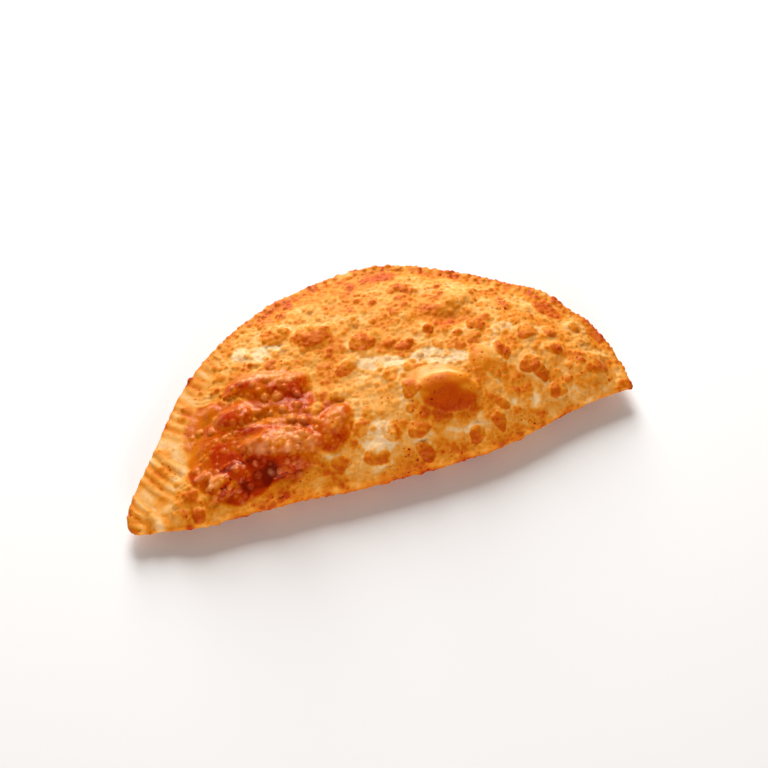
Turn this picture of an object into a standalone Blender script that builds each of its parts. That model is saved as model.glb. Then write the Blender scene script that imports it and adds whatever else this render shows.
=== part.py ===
"""Cheburek: a half-moon of thin dough, folded over its filling, crimped with a fork and fried.

One solid. Metres, +Z up. It lies on a small flat spot of its belly, with the fold towards -Y, the
crimped arc towards +Y and its length along X. The origin is under the middle of its outer box.
Plan positions are first worked out from the middle of the fold line, and moved at the end.
"""

import math
import random

import bpy
import numpy as np

MM = 0.001

# Driving sizes
RIM_THICK = 3.4 * MM
SEAM_HEIGHT = 9.5 * MM
RISE = 11.0 * MM
TIP_RIM_WIDTH = 16.0 * MM
BACK_RIM_WIDTH = 5.0 * MM
CRIMP_SLOPE_RUN = 38.0 * MM
FOLD_SLOPE_RUN = 36.0 * MM
FOLD_FULLNESS = 0.8
BELLY_FLAT = 0.9
BELLY_ROUND = 1.6
FLAT_SNAP = 0.12 * MM
# The rim's waves fade out towards the spot that it rests on, below this height
GROUND_CLEAR = 4.0 * MM

# The rim narrows from the first tip's width to the back's width over this stretch of the crimp
NARROWING_START = 45.0 * MM
NARROWING_RUN = 60.0 * MM

# Slow ups and downs of the whole dough: height, and the lengths that each goes over
SWAY_ALONG = 1.1 * MM
SWAY_ALONG_RUN = 23.0 * MM
SWAY_SHIFT = 0.6
SWAY_ACROSS = 0.8 * MM
SWAY_ACROSS_RUNS = (31.0 * MM, 17.0 * MM)

# The rim's own waves, and how far the first tip hangs
WAVE_HEIGHT = 0.9 * MM
WAVE_RUN = 13.0 * MM
WAVE_REACH = 18.0 * MM
TIP_DROOP = 1.8 * MM
DROOP_START = 70.0 * MM
DROOP_RUN = 40.0 * MM

# Plan outline, as the few points that its two smooth lines pass through (mm)
CRIMP_LINE = (
    (-108.5, -1.4),
    (-109.4, 4.0),
    (-105.2, 12.6),
    (-93.2, 29.0),
    (-73.0, 56.2),
    (-55.2, 71.8),
    (-39.2, 81.6),
    (-22.9, 89.9),
    (-4.0, 94.0),
    (14.0, 95.3),
    (33.0, 92.6),
    (57.2, 82.2),
    (78.2, 68.0),
    (91.4, 57.4),
    (99.4, 43.4),
    (104.4, 35.6),
    (108.0, 23.0),
    (109.4, 10.0),
    (109.2, -1.6),
)
FOLD_LINE = (
    (109.2, -1.6),
    (94.0, -2.2),
    (79.4, -4.2),
    (64.5, -7.6),
    (50.0, -10.6),
    (36.0, -12.0),
    (10.0, -12.2),
    (-16.0, -11.4),
    (-41.0, -9.0),
    (-66.0, -8.2),
    (-80.0, -8.2),
    (-96.0, -4.8),
    (-104.5, -3.2),
    (-108.5, -1.4),
)
LINE_STEPS = 16

# Presses of the four-tined fork: start along the crimp, slant, reach inwards, depth (mm)
FORK_PITCH = 4.7
FORK_TINES = 4
FORK_CURL = -0.012
FORK_PRESSES = (
    (1, 0.85, 18, 2.7),
    (24, 0.6, 17, 2.6),
    (48, 0.3, 11, 1.3),
    (71, 0.15, 8, 0.9),
    (92, 0.1, 6, 0.8),
    (110, -0.1, 6, 0.8),
    (131, 0.1, 5, 0.7),
    (152, 0.2, 6, 0.8),
    (174, 0.0, 5, 0.7),
    (196, -0.1, 6, 0.8),
    (218, 0.1, 6, 0.9),
    (241, 0.0, 6, 0.8),
)
# A ridge between two grooves: rounder as this grows, and how far it stands above the rim's level
RIDGE_ROUND = 1.3
RIDGE_LEVEL = 0.55
# Where a press begins to fade, as a share of its reach, and how sharply its sides end
FADE_START = 0.6
PRESS_MARGIN = 0.3
PRESS_EDGE = 1.6

# Blisters: x, y, half length, half width (mm), turn (degrees), height (mm), edge (1 soft,
# 0.4 steep)
BLISTERS = (
    # the large dark blister, its lobes and the valley between them
    (-46, 15, 29, 26, -12, 2.8, 0.5),
    (-38, 42, 18, 7.0, -20, 4.0, 0.7),
    (-55.5, 31.5, 8.5, 5.5, -25, 3.0, 0.6),
    (-65.5, 40.5, 6.0, 5.6, 0, 2.4, 0.7),
    (-42, 9, 17, 10, -14, 4.6, 0.7),
    (-19, 12, 12, 7.2, 50, 3.8, 0.65),
    (-12, 26, 4.2, 3.8, 0, 1.8, 0.6),
    (-52, 15, 3.8, 3.4, 0, 2.2, 0.5),
    (-70.5, 2.4, 6.4, 5.0, 20, 4.0, 0.45),
    (-61.5, 5.6, 4.0, 3.4, 0, 2.8, 0.5),
    (-74.5, 9.5, 3.2, 3.0, 0, 2.4, 0.5),
    (-44, 26, 9, 4, -14, -1.8, 0.8),
    # the boat-shaped blister in the middle
    (27, 20, 15.5, 8.5, -19, 2.0, 0.8),
    (30.8, 12.4, 13.2, 9.0, -14, 4.2, 0.5),
    # single blisters of the middle
    (16, 18.5, 3.8, 4.6, 0, 1.8, 0.5),
    (50.5, 23.5, 7.0, 7.4, 0, 2.6, 0.5),
    (20, 30, 3.4, 3.4, 0, 1.2, 0.5),
    (11.5, 28, 3.8, 5.2, -19, 1.5, 0.5),
    (3, 3, 4.2, 4.0, 0, 1.5, 0.5),
    (13.5, 0.5, 4.6, 4.2, 0, 1.6, 0.5),
    (-8.5, 9, 4.0, 3.8, 0, 1.4, 0.6),
    (36.5, -6, 4.2, 3.4, 0, 1.4, 0.5),
    (48, -4, 3.4, 3.0, 0, 1.3, 0.5),
    (51, 3, 3.0, 2.8, 0, 1.1, 0.5),
    (14, -7, 4.4, 3.0, 0, 1.2, 0.6),
    (-6, -4, 5.0, 3.8, 0, 1.4, 0.6),
    (-21, -3, 4.0, 3.2, 0, 1.3, 0.6),
    # the far side, along the crimped arc
    (-27, 67, 7.0, 6.0, -20, 2.0, 0.6),
    (-13, 60, 8.0, 6.5, -20, 2.2, 0.6),
    (5, 48, 5.2, 4.6, 0, 1.9, 0.5),
    (-4, 38, 5.5, 4.0, 30, 1.7, 0.6),
    (22, 41, 4.6, 3.0, 30, 1.3, 0.5),
    (52, 61, 9.5, 8.0, 0, 2.8, 0.7),
    (33, 72, 3.6, 3.6, 0, 1.5, 0.5),
    (42, 50, 14, 5.0, -19, -1.8, 0.9),
    (53, 42, 3.6, 3.2, 0, 1.4, 0.5),
    (58.5, 25, 3.6, 5.4, 20, 1.6, 0.5),
    # the blunt far tip
    (94, 10, 11, 9.5, 0, 3.0, 0.7),
    (68.5, 15.5, 4.2, 4.6, 20, 1.8, 0.5),
    (72.0, 11.5, 4.0, 4.0, 0, 1.9, 0.5),
    (73, 32.5, 5.0, 4.2, 0, 1.7, 0.5),
    (83, 31, 3.6, 3.0, 0, 1.3, 0.5),
    (96, 32, 3.4, 3.0, 0, 1.2, 0.5),
    (82, 22, 4.2, 3.6, 0, 1.4, 0.5),
    (90, 19, 4.0, 3.4, 0, 1.2, 0.5),
    (76, 3.5, 4.0, 3.4, 30, 1.3, 0.5),
    # the first tip
    (-84, 8, 9.0, 6.0, 30, 1.2, 0.8),
    (-81.5, -4, 3.8, 2.8, 0, 1.2, 0.5),
)

# How far the blisters' outlines stray from ovals, and over which lengths
WANDER = 0.7 * MM
WANDER_SLOW_X = (2.3 * MM, 4.7 * MM)
WANDER_SLOW_Y = (2.6 * MM, 5.1 * MM)
WANDER_QUICK = (1.9 * MM, 2.1 * MM)
QUICK_SHARE = 0.7

# Blisters whose skin stays smooth: x, y, half length, half width (mm), turn (degrees)
SMOOTH_OVALS = (
    (27, 20, 15.5, 8.5, -19),
    (30.8, 12.4, 13.2, 9.0, -14),
    (50.5, 23.5, 7.0, 7.4, 0),
)
# No scattered bubbles lie on these: the smooth ones and the dark blister with its lobes
CLEAR_OVALS = (
    *SMOOTH_OVALS,
    (-19, 12, 12, 7.2, 50),
    (-46, 15, 29, 26, -12),
    (-38, 42, 18, 7, -20),
)

# A blister grows to its full height where the filling lifts the dough this much
BLISTER_START = 0.15
BLISTER_GROWTH = 4.0

# Small bubbles between the blisters
BUBBLE_SEED = 7
BUBBLE_COUNT = 300
BUBBLE_TRIES = 1800
BUBBLE_RADIUS = (1.7 * MM, 3.6 * MM)
BUBBLE_HEIGHT = 0.4
BUBBLE_EDGE = 0.6
BUBBLE_SPACING = 0.9
TIP_CLEAR = 20.0 * MM
BACK_CLEAR = 8.0 * MM
FOLD_CLEAR = 3.0 * MM

# Look of the plain dough
DOUGH_COLOUR = (0.72, 0.33, 0.08, 1)
DOUGH_ROUGHNESS = 0.45

# Mesh resolution: every second point of the outline is enough
OUTLINE_STEP = 2
PLATE_CELL = 1.2 * MM
SKIN_CELL = 1.06 * MM
TRIANGLES = 11400


def clear_scene():
    for obj in list(bpy.data.objects):
        bpy.data.objects.remove(obj, do_unlink=True)


def smooth_line(knots):
    """Points along a Catmull-Rom curve through the knots, in metres."""
    points = np.array(knots, dtype=float) * MM
    ends = (2 * points[0] - points[1], 2 * points[-1] - points[-2])
    points = np.vstack((ends[0], points, ends[1]))
    share = np.linspace(0, 1, LINE_STEPS, endpoint=False)[:, None]
    runs = []
    for i in range(1, len(points) - 2):
        before, start, end, after = points[i - 1 : i + 3]
        linear = (end - before) * share
        square = (2 * before - 5 * start + 4 * end - after) * share**2
        cubic = (3 * start - before - 3 * end + after) * share**3
        runs.append(0.5 * (2 * start + linear + square + cubic))
    runs.append(points[-2:-1])
    return np.vstack(runs)


CRIMP = smooth_line(CRIMP_LINE)
FOLD = smooth_line(FOLD_LINE)


def distance_to(line, x, y):
    """The distance from each point to the line, and how far along the line it is nearest."""
    steps = np.linalg.norm(np.diff(line, axis=0), axis=1)
    along = np.concatenate(([0.0], np.cumsum(steps)))
    gap = np.full(len(x), np.inf)
    place = np.zeros(len(x))
    for start, end, length, begin in zip(line[:-1], line[1:], steps, along):
        way = (end - start) / length
        reach = np.clip((x - start[0]) * way[0] + (y - start[1]) * way[1], 0, length)
        far = np.hypot(x - start[0] - reach * way[0], y - start[1] - reach * way[1])
        nearer = far < gap
        gap[nearer] = far[nearer]
        place[nearer] = begin + reach[nearer]
    return gap, place


def ease(value):
    """A smooth step from 0 to 1 as the value goes from 0 to 1."""
    value = np.clip(value, 0, 1)
    return value * value * (3 - 2 * value)


def narrowing(place, tip_width, back_width):
    """A width that goes from the first tip's to the back's along the crimp."""
    return tip_width + (back_width - tip_width) * ease((place - NARROWING_START) / NARROWING_RUN)


def pillow(x, y):
    """How far the filling lifts the dough: 0 on the rim and at the fold, 1 in the middle."""
    crimp_gap, place = distance_to(CRIMP, x, y)
    fold_gap, _ = distance_to(FOLD, x, y)
    rim = narrowing(place, TIP_RIM_WIDTH, BACK_RIM_WIDTH)
    from_rim = np.clip((crimp_gap - rim) / CRIMP_SLOPE_RUN, 0, 1)
    from_fold = np.clip(fold_gap / FOLD_SLOPE_RUN, 0, 1)
    crimp_side = 1 - (1 - from_rim) ** 2
    fold_side = (1 - (1 - from_fold) ** 2) ** FOLD_FULLNESS
    return crimp_side * fold_side


def sway(x, y):
    """Slow ups and downs of the whole dough."""
    along = SWAY_ALONG * np.sin(x / SWAY_ALONG_RUN + SWAY_SHIFT)
    across = SWAY_ACROSS * np.cos(x / SWAY_ACROSS_RUNS[0] - y / SWAY_ACROSS_RUNS[1])
    return along + across


def wander(x, y):
    """The same places moved a little to and fro, so that no blister is a perfect oval."""
    move_x = np.sin(y / WANDER_SLOW_X[0] + x / WANDER_SLOW_X[1])
    move_y = np.sin(x / WANDER_SLOW_Y[0] - y / WANDER_SLOW_Y[1])
    move_x += QUICK_SHARE * np.sin(x / WANDER_QUICK[0])
    move_y += QUICK_SHARE * np.sin(y / WANDER_QUICK[1])
    return x + WANDER * move_x, y + WANDER * move_y


def oval(x, y, centre_x, centre_y, half_length, half_width, turn):
    """1 in the middle of a turned oval, falling to 0 at its edge and outside; sizes in mm."""
    angle = math.radians(turn)
    off_x = x - centre_x * MM
    off_y = y - centre_y * MM
    forward = (off_x * math.cos(angle) + off_y * math.sin(angle)) / (half_length * MM)
    sideways = (off_y * math.cos(angle) - off_x * math.sin(angle)) / (half_width * MM)
    return np.clip(1 - forward**2 - sideways**2, 0, 1)


def inside_outline(x, y):
    """Whether each point lies between the fold line and the crimped line."""
    crimp_order = np.argsort(CRIMP[:, 0])
    fold_order = np.argsort(FOLD[:, 0])
    top = np.interp(x, CRIMP[crimp_order, 0], CRIMP[crimp_order, 1])
    bottom = np.interp(x, FOLD[fold_order, 0], FOLD[fold_order, 1])
    return (y > bottom) & (y < top)


def scattered_bubbles():
    """Small round bubbles at seeded places on the top, as (x, y, radius) in metres."""
    draw = random.Random(BUBBLE_SEED)
    low = np.minimum(CRIMP.min(axis=0), FOLD.min(axis=0))
    high = np.maximum(CRIMP.max(axis=0), FOLD.max(axis=0))
    tries = np.array(
        [
            (draw.uniform(low[0], high[0]), draw.uniform(low[1], high[1]), draw.random())
            for _ in range(BUBBLE_TRIES)
        ]
    )
    inside = inside_outline(tries[:, 0], tries[:, 1])
    crimp_gap, place = distance_to(CRIMP, tries[:, 0], tries[:, 1])
    fold_gap, _ = distance_to(FOLD, tries[:, 0], tries[:, 1])
    clear = narrowing(place, TIP_CLEAR, BACK_CLEAR)
    free = inside & (crimp_gap > clear) & (fold_gap > FOLD_CLEAR)
    for spot in CLEAR_OVALS:
        free &= oval(tries[:, 0], tries[:, 1], *spot) == 0
    small, large = BUBBLE_RADIUS
    kept = []
    for x, y, size in tries[free]:
        radius = small + (large - small) * size**2
        if all(math.hypot(x - u, y - v) > BUBBLE_SPACING * (radius + r) for u, v, r in kept):
            kept.append((x, y, radius))
    return kept[:BUBBLE_COUNT]


def fork_marks(x, y):
    """Height of the fork's ridges on the rim, in presses of four tines with a gap between."""
    gap, place = distance_to(CRIMP, x, y)
    height = np.zeros(len(x))
    for start, slant, reach, depth in FORK_PRESSES:
        bend = slant * gap + FORK_CURL * gap**2 / MM
        tine = ((place + bend) / MM - start) / FORK_PITCH
        side = np.minimum(tine, FORK_TINES - tine) + PRESS_MARGIN
        pressed = ease(PRESS_EDGE * side)
        fade = 1 - ease((gap / MM / reach - FADE_START) / FADE_START)
        ridge = np.abs(np.sin(math.pi * tine)) ** RIDGE_ROUND - RIDGE_LEVEL
        height += depth * MM * ridge * fade * pressed
    return height


def relief(x, y):
    """Height of everything that stands on the smooth swell of the upper skin."""
    lift = pillow(x, y)
    height = sway(x, y) * lift + fork_marks(x, y)
    uneven = wander(x, y)
    full = ease(BLISTER_GROWTH * lift + BLISTER_START)
    for *spot, top, edge in BLISTERS:
        height += top * MM * oval(*uneven, *spot) ** edge * full
    for centre_x, centre_y, radius in scattered_bubbles():
        off = np.hypot(x - centre_x, y - centre_y) / radius
        height += BUBBLE_HEIGHT * radius * np.clip(1 - off**2, 0, 1) ** BUBBLE_EDGE
    return height


def belly_depth(x, y):
    """Depth of the lower skin under the seam: deep enough to flatten where it rests."""
    hanging = 1 - np.clip(1 - pillow(x, y) / BELLY_FLAT, 0, 1) ** BELLY_ROUND
    return (SEAM_HEIGHT - RIM_THICK / 2) * hanging


def seam_lift(x, y):
    """The rim waves a little up and down between the fork presses, and sinks at the first tip."""
    gap, place = distance_to(CRIMP, x, y)
    wave = WAVE_HEIGHT * np.sin(place / WAVE_RUN) * (1 - ease(gap / WAVE_REACH))
    droop = TIP_DROOP * ease((-x - DROOP_START) / DROOP_RUN)
    return wave - droop


def outline_plate():
    """A flat plate of the rim's thickness, cut to the plan outline."""
    curve = bpy.data.curves.new("outline", "CURVE")
    curve.dimensions = "2D"
    curve.fill_mode = "BOTH"
    curve.extrude = RIM_THICK / 2
    points = np.vstack((CRIMP[:-1], FOLD[:-1]))[::OUTLINE_STEP]
    spline = curve.splines.new("POLY")
    spline.points.add(len(points) - 1)
    for point, (x, y) in zip(spline.points, points):
        point.co = (x, y, 0, 1)
    spline.use_cyclic_u = True
    guide = bpy.data.objects.new("outline", curve)
    bpy.context.scene.collection.objects.link(guide)
    bpy.context.view_layer.update()
    graph = bpy.context.evaluated_depsgraph_get()
    mesh = bpy.data.meshes.new_from_object(guide.evaluated_get(graph))
    bpy.data.objects.remove(guide)
    mesh.materials.clear()
    return mesh


def apply_modifier(obj, kind, **settings):
    modifier = obj.modifiers.new(kind.title(), kind)
    for name, value in settings.items():
        setattr(modifier, name, value)
    bpy.context.view_layer.objects.active = obj
    bpy.ops.object.modifier_apply(modifier=modifier.name)


def points_of(mesh):
    points = np.empty(len(mesh.vertices) * 3, dtype=np.float32)
    mesh.vertices.foreach_get("co", points)
    return points.reshape(-1, 3).astype(float)


def set_points(mesh, points):
    mesh.vertices.foreach_set("co", points.astype(np.float32).ravel())
    mesh.update()


def puff_up(mesh):
    """Fills the plate: its upper skin rises over the filling and its lower skin sinks."""
    points = points_of(mesh)
    x, y, z = points.T
    side = np.clip(z / (RIM_THICK / 2), -1, 1)
    up = pillow(x, y) * RISE
    down = belly_depth(x, y)
    points[:, 2] = SEAM_HEIGHT + z + np.where(side > 0, side * up, side * down)
    set_points(mesh, points)


def add_relief(mesh):
    """Blisters, bubbles and fork marks on the upper skin, and the waves of the rim."""
    points = points_of(mesh)
    x, y, z = points.T
    above = ease((z - SEAM_HEIGHT) / RIM_THICK + 0.5)
    grounded = ease(z / GROUND_CLEAR)
    points[:, 2] = z + above * relief(x, y) + grounded * seam_lift(x, y)
    set_points(mesh, points)


def settle(mesh):
    """Flattens the spot that it rests on, and puts the origin under the middle of the box."""
    points = points_of(mesh)
    points[:, 2] -= points[:, 2].min()
    points[points[:, 2] < FLAT_SNAP, 2] = 0
    middle = (points.min(axis=0) + points.max(axis=0)) / 2
    points[:, :2] -= middle[:2]
    set_points(mesh, points)


def fried_dough():
    material = bpy.data.materials.new("fried_dough")
    material.use_nodes = True
    shader = material.node_tree.nodes["Principled BSDF"]
    shader.inputs["Base Color"].default_value = DOUGH_COLOUR
    shader.inputs["Roughness"].default_value = DOUGH_ROUGHNESS
    shader.inputs["Metallic"].default_value = 0
    return material


def make_cheburek(collection):
    obj = bpy.data.objects.new("cheburek", outline_plate())
    collection.objects.link(obj)
    apply_modifier(obj, "REMESH", mode="VOXEL", voxel_size=PLATE_CELL)
    puff_up(obj.data)
    apply_modifier(obj, "REMESH", mode="VOXEL", voxel_size=SKIN_CELL)
    add_relief(obj.data)
    faces = sum(len(face.vertices) - 2 for face in obj.data.polygons)
    apply_modifier(obj, "TRIANGULATE")
    apply_modifier(obj, "DECIMATE", ratio=TRIANGLES / faces)
    settle(obj.data)
    obj.data.materials.append(fried_dough())
    obj.data.shade_smooth()


def main():
    clear_scene()
    collection = bpy.data.collections.new("Cheburek")
    bpy.context.scene.collection.children.link(collection)
    make_cheburek(collection)


main()
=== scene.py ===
"""Looks of a cheburek: a fork-crimped half-moon of dough, fried until its skin blisters and browns."""

import math
import random

import bpy
import numpy as np
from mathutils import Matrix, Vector, noise
from mathutils.kdtree import KDTree


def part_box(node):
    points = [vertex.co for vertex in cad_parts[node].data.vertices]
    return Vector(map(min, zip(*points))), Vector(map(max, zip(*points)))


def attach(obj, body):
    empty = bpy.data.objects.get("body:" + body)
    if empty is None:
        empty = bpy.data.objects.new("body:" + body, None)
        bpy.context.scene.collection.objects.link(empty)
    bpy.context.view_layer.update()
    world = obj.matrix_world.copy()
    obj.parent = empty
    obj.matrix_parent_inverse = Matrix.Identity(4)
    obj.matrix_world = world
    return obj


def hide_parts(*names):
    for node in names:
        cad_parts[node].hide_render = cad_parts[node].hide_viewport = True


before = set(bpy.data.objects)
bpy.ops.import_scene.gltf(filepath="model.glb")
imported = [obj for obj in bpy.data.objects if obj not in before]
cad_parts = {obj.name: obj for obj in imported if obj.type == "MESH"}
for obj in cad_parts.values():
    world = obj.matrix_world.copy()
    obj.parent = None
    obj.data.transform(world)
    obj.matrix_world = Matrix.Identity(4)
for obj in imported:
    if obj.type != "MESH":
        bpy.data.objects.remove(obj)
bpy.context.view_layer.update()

MM = 0.001

# ---------------------------------------------------------------- the dough's sizes
RIM_THICK = 3.4 * MM
SEAM_HEIGHT = 9.5 * MM
RISE = 11.0 * MM
TIP_RIM_WIDTH = 16.0 * MM
BACK_RIM_WIDTH = 5.0 * MM
CRIMP_SLOPE_RUN = 38.0 * MM
FOLD_SLOPE_RUN = 36.0 * MM
FOLD_FULLNESS = 0.8
BELLY_FLAT = 0.9
BELLY_ROUND = 1.6
FLAT_SNAP = 0.12 * MM
# The rim's waves and the fine relief fade out towards the resting spot, below these heights
GROUND_CLEAR = 4 * MM
FINE_GROUND_CLEAR = 3 * MM

# The rim narrows from the first tip's width to the back's width over this stretch of the crimp
NARROWING_START = 45 * MM
NARROWING_RUN = 60 * MM

# Slow ups and downs of the whole dough: height, and the lengths that each goes over
SWAY_ALONG = 1.1 * MM
SWAY_ALONG_RUN = 23 * MM
SWAY_SHIFT = 0.6
SWAY_ACROSS = 0.8 * MM
SWAY_ACROSS_RUNS = (31 * MM, 17 * MM)

# The rim's own waves, and how far the first tip hangs
WAVE_HEIGHT = 0.9 * MM
WAVE_RUN = 13 * MM
WAVE_REACH = 18 * MM
TIP_DROOP = 1.8 * MM
DROOP_START = 70 * MM
DROOP_RUN = 40 * MM

# Plan outline, as the few points that its two smooth lines pass through (mm)
CRIMP_LINE = (
    (-108.5, -1.4),
    (-109.4, 4.0),
    (-105.2, 12.6),
    (-93.2, 29.0),
    (-73.0, 56.2),
    (-55.2, 71.8),
    (-39.2, 81.6),
    (-22.9, 89.9),
    (-4.0, 94.0),
    (14.0, 95.3),
    (33.0, 92.6),
    (57.2, 82.2),
    (78.2, 68.0),
    (91.4, 57.4),
    (99.4, 43.4),
    (104.4, 35.6),
    (108.0, 23.0),
    (109.4, 10.0),
    (109.2, -1.6),
)
FOLD_LINE = (
    (109.2, -1.6),
    (94.0, -2.2),
    (79.4, -4.2),
    (64.5, -7.6),
    (50.0, -10.6),
    (36.0, -12.0),
    (10.0, -12.2),
    (-16.0, -11.4),
    (-41.0, -9.0),
    (-66.0, -8.2),
    (-80.0, -8.2),
    (-96.0, -4.8),
    (-104.5, -3.2),
    (-108.5, -1.4),
)
LINE_STEPS = 16

# Presses of the four-tined fork: start along the crimp, slant, reach inwards, depth (mm)
FORK_PITCH = 4.7
FORK_TINES = 4
FORK_CURL = -0.012
FORK_PRESSES = (
    (1, 0.85, 18, 2.7),
    (24, 0.6, 17, 2.6),
    (48, 0.3, 11, 1.3),
    (71, 0.15, 8, 0.9),
    (92, 0.1, 6, 0.8),
    (110, -0.1, 6, 0.8),
    (131, 0.1, 5, 0.7),
    (152, 0.2, 6, 0.8),
    (174, 0.0, 5, 0.7),
    (196, -0.1, 6, 0.8),
    (218, 0.1, 6, 0.9),
    (241, 0.0, 6, 0.8),
)
# A ridge between two grooves: rounder as this grows, and how far it stands above the rim's level
RIDGE_ROUND = 1.3
RIDGE_LEVEL = 0.55
# A groove's bottom is darkened with painted shade from this far below the ridges on
GROOVE_BOTTOM = 0.4
# Where a press begins to fade, as a share of its reach, and how sharply its sides end
FADE_START = 0.6
PRESS_MARGIN = 0.3
PRESS_EDGE = 1.6

# Blisters: x, y, half length, half width (mm), turn (degrees), height (mm), edge (1 soft,
# 0.4 steep), browning of the blister
BLISTERS = (
    # the large dark blister, its lobes and the valley between them
    (-46, 15, 29, 26, -12, 2.8, 0.5, 0),
    (-38, 42, 18, 7.0, -20, 4.0, 0.7, -0.06),
    (-55.5, 31.5, 8.5, 5.5, -25, 3.0, 0.6, 0.02),
    (-65.5, 40.5, 6.0, 5.6, 0, 2.4, 0.7, -0.06),
    (-42, 9, 17, 10, -14, 4.6, 0.7, 0),
    (-19, 12, 12, 7.2, 50, 3.8, 0.65, 0.02),
    (-12, 26, 4.2, 3.8, 0, 1.8, 0.6, -0.04),
    (-52, 15, 3.8, 3.4, 0, 2.2, 0.5, -0.04),
    (-70.5, 2.4, 6.4, 5.0, 20, 4.0, 0.45, -0.1),
    (-61.5, 5.6, 4.0, 3.4, 0, 2.8, 0.5, -0.08),
    (-74.5, 9.5, 3.2, 3.0, 0, 2.4, 0.5, -0.08),
    (-44, 26, 9, 4, -14, -1.8, 0.8, -0.1),
    # the boat-shaped blister in the middle
    (27, 20, 15.5, 8.5, -19, 2.0, 0.8, 0.02),
    (30.8, 12.4, 13.2, 9.0, -14, 4.2, 0.5, 0.2),
    # single blisters of the middle
    (16, 18.5, 3.8, 4.6, 0, 1.8, 0.5, 0.22),
    (50.5, 23.5, 7.0, 7.4, 0, 2.6, 0.5, 0.05),
    (20, 30, 3.4, 3.4, 0, 1.2, 0.5, 0.1),
    (11.5, 28, 3.8, 5.2, -19, 1.5, 0.5, 0.12),
    (3, 3, 4.2, 4.0, 0, 1.5, 0.5, 0.16),
    (13.5, 0.5, 4.6, 4.2, 0, 1.6, 0.5, 0.19),
    (-8.5, 9, 4.0, 3.8, 0, 1.4, 0.6, 0.12),
    (36.5, -6, 4.2, 3.4, 0, 1.4, 0.5, 0.22),
    (48, -4, 3.4, 3.0, 0, 1.3, 0.5, 0.22),
    (51, 3, 3.0, 2.8, 0, 1.1, 0.5, 0.19),
    (14, -7, 4.4, 3.0, 0, 1.2, 0.6, 0.24),
    (-6, -4, 5.0, 3.8, 0, 1.4, 0.6, 0.19),
    (-21, -3, 4.0, 3.2, 0, 1.3, 0.6, 0.17),
    (14, 9.5, 2.6, 2.4, 0, 1.0, 0.5, 0.19),
    # the far side, along the crimped arc
    (-27, 67, 7.0, 6.0, -20, 2.0, 0.6, 0.1),
    (-13, 60, 8.0, 6.5, -20, 2.2, 0.6, 0.14),
    (5, 48, 5.2, 4.6, 0, 1.9, 0.5, 0.22),
    (-4, 38, 5.5, 4.0, 30, 1.7, 0.6, 0.24),
    (22, 41, 4.6, 3.0, 30, 1.3, 0.5, 0.2),
    (52, 61, 9.5, 8.0, 0, 2.8, 0.7, 0.02),
    (33, 72, 3.6, 3.6, 0, 1.5, 0.5, 0.14),
    (42, 50, 14, 5.0, -19, -1.8, 0.9, 0.14),
    (34, 45, 2.8, 2.8, 0, 1.1, 0.5, 0.22),
    (45, 39, 2.8, 2.6, 0, 1.1, 0.5, 0.2),
    (53, 42, 3.6, 3.2, 0, 1.4, 0.5, 0.19),
    (34, 36.5, 2.6, 2.4, 0, 1.0, 0.5, 0.17),
    (43, 32.5, 2.6, 2.4, 0, 1.0, 0.5, 0.19),
    (58.5, 25, 3.6, 5.4, 20, 1.6, 0.5, 0.2),
    # the blunt far tip
    (94, 10, 11, 9.5, 0, 3.0, 0.7, 0.04),
    (68.5, 15.5, 4.2, 4.6, 20, 1.8, 0.5, 0.34),
    (72.0, 11.5, 4.0, 4.0, 0, 1.9, 0.5, 0.34),
    (73, 32.5, 5.0, 4.2, 0, 1.7, 0.5, 0.2),
    (83, 31, 3.6, 3.0, 0, 1.3, 0.5, 0.19),
    (96, 32, 3.4, 3.0, 0, 1.2, 0.5, 0.14),
    (82, 22, 4.2, 3.6, 0, 1.4, 0.5, 0.12),
    (90, 19, 4.0, 3.4, 0, 1.2, 0.5, 0.04),
    (76, 3.5, 4.0, 3.4, 30, 1.3, 0.5, 0.14),
    # the first tip
    (-84, 8, 9.0, 6.0, 30, 1.2, 0.8, -0.08),
    (-81.5, -4, 3.8, 2.8, 0, 1.2, 0.5, 0.14),
)

# How far the blisters' outlines stray from ovals, and over which lengths
WANDER = 0.7 * MM
WANDER_SLOW_X = (2.3 * MM, 4.7 * MM)
WANDER_SLOW_Y = (2.6 * MM, 5.1 * MM)
WANDER_QUICK = (1.9 * MM, 2.1 * MM)
QUICK_SHARE = 0.7

# A blister grows to its full height where the filling lifts the dough this much
BLISTER_START = 0.15
BLISTER_GROWTH = 4

# Single small bubbles of the dark blister: x, y, radius (mm)
SMALL_BUBBLES = (
    (-36, 34, 2.4),
    (-41, 35, 2.0),
    (-28, 32, 1.7),
    (-36, 27, 2.0),
    (-41, 27, 1.3),
    (-48.5, 27, 0.9),
    (-30, 27, 2.0),
    (-30, 19, 2.2),
    (-34, 21, 2.2),
    (-25, 17.5, 1.5),
    (-38, -2, 1.5),
    (-41.5, 2, 1.3),
    (-39, 1, 1.2),
    (-49, 1.5, 1.6),
    (-45.5, 0.5, 1.6),
    (-40, 6.5, 1.7),
    (-36, 6, 1.4),
    (-30.5, 4, 1.0),
    (-31, 8, 1.0),
    (-58, 16, 1.1),
    (-54, 12, 1.0),
    (-70, 34, 1.7),
    (-66, 30.5, 1.7),
    (-74, 33, 1.0),
    (-80, 5, 1.0),
    (-27, 23, 1.3),
    (-33, 12, 1.6),
    (-62, 24, 1.4),
    (-57, 24, 1.1),
    (-22, 24, 1.5),
    (-73.5, 3.2, 1.7),
    (-66.5, 0.5, 1.2),
    (-73, -1, 1.3),
    (-44, 43, 1.6),
    (-38, 43, 2.0),
    (-33, 40, 1.5),
    (-48, 46, 1.4),
    (-27, 40, 1.3),
    (-52, 47, 1.2),
    (-36.3, 15.6, 2.4),
    (-47, 12, 1.5),
    (-46, 8, 1.3),
    (-35, 9, 1.8),
    (-54, 6, 1.2),
    (-26, 13, 1.1),
)

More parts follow.
